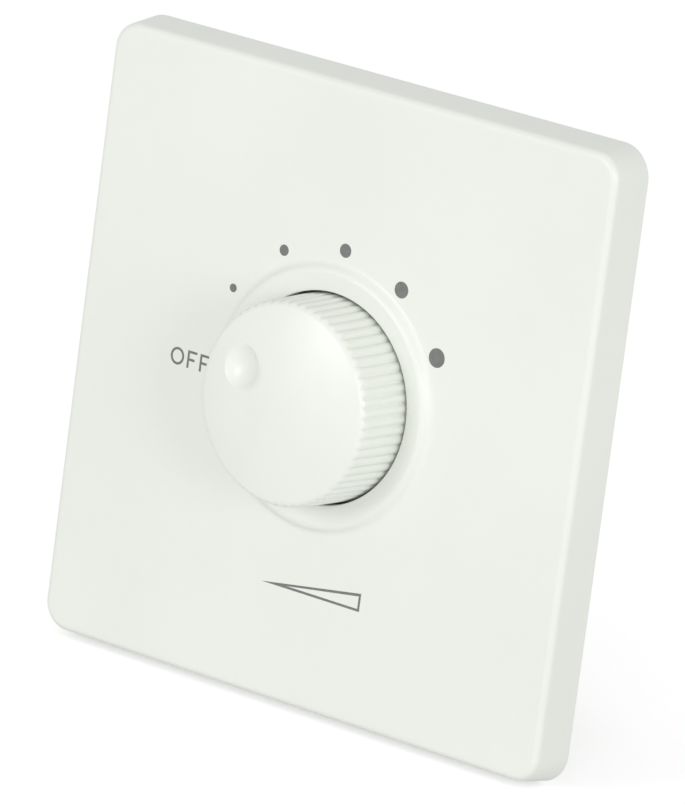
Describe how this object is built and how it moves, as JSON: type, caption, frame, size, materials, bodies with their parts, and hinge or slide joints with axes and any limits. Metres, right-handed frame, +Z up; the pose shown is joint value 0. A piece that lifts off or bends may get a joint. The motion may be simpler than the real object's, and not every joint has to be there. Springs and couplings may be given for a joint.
{
  "type": "speaker volume control",
  "caption": "Square wall-mounted speaker volume control: clip-on cover, fluted knob on a stepped rotary switch, tapped transformer and screw terminals behind.",
  "frame": {"origin": "centre of the cover on the wall plane, midway between the two fixing slots", "axes": "+Z up, +X to the right seen from the front, the face looks along -Y and +Y goes into the wall"},
  "size_m": [0.086, 0.0467, 0.086],
  "materials": {
    "cover_plastic": "fine satin moulded surface",
    "knob_plastic": "fine satin moulded surface",
    "zinc_sheet": "zinc plated sheet steel",
    "spring_steel": "bright spring steel",
    "shaft_metal": "turned steel",
    "nut_plating": "nickel plated brass",
    "die_cast": "as cast zinc alloy",
    "switch_black": "black moulded plastic",
    "natural_nylon": "natural nylon",
    "bronze": "phosphor bronze",
    "wafer_board": "brown laminated board",
    "tinned_brass": "tinned brass",
    "core_plates": "varnished core plates",
    "bobbin_nylon": "moulded nylon",
    "copper_wire": "enamelled copper wire",
    "yellow_tape": "polyester tape",
    "screw_zinc": "bright zinc plating",
    "green_board": "green coated board",
    "standoff_brass": "turned brass",
    "terminal_green": "green moulded plastic",
    "lead_brown": "wire insulation",
    "lead_red": "wire insulation",
    "lead_orange": "wire insulation",
    "lead_yellow": "wire insulation",
    "lead_green": "wire insulation",
    "lead_black": "wire insulation",
    "lead_white": "wire insulation"
  },
  "bodies": {
    "wall_unit": {"front_cover": "cover_plastic", "mounting_frame": "zinc_sheet", "panel_nut": "nut_plating", "lock_washer": "spring_steel", "switch_bushing": "die_cast", "switch_housing": "switch_black", "detent_spring": "bronze", "stop_arc": "spring_steel", "contact_wafer": "wafer_board", "fixed_contacts": "tinned_brass", "common_contact": "tinned_brass", "tie_screws": "screw_zinc", "transformer_core": "core_plates", "coil_bobbin": "bobbin_nylon", "coil_winding": "copper_wire", "coil_tape": "yellow_tape", "bobbin_pins": "tinned_brass", "transformer_bracket": "zinc_sheet", "bracket_screws": "screw_zinc", "bracket_nuts": "screw_zinc", "circuit_board": "green_board", "board_standoffs": "standoff_brass", "board_screws": "screw_zinc", "terminal_block": "terminal_green", "terminal_clamps": "tinned_brass", "terminal_screws": "screw_zinc", "terminal_pins": "tinned_brass", "tap_lead_1": "lead_brown", "tap_lead_2": "lead_red", "tap_lead_3": "lead_orange", "tap_lead_4": "lead_yellow", "tap_lead_5": "lead_green", "input_lead": "lead_red", "return_lead": "lead_black", "output_lead": "lead_white"},
    "knob_rotor": {"knob": "knob_plastic", "knob_spring": "spring_steel", "switch_shaft": "shaft_metal", "retaining_ring": "spring_steel", "index_wheel": "natural_nylon", "contact_rotor": "natural_nylon", "wiper_contact": "bronze"}
  },
  "joints": [
    {"name": "volume_turn", "type": "hinge", "parent": "wall_unit", "child": "knob_rotor", "pos_m": [0, 0, 0], "axis": [0, 1, 0], "range_deg": [-30, 120], "deforming": ["detent_spring"]}
  ]
}
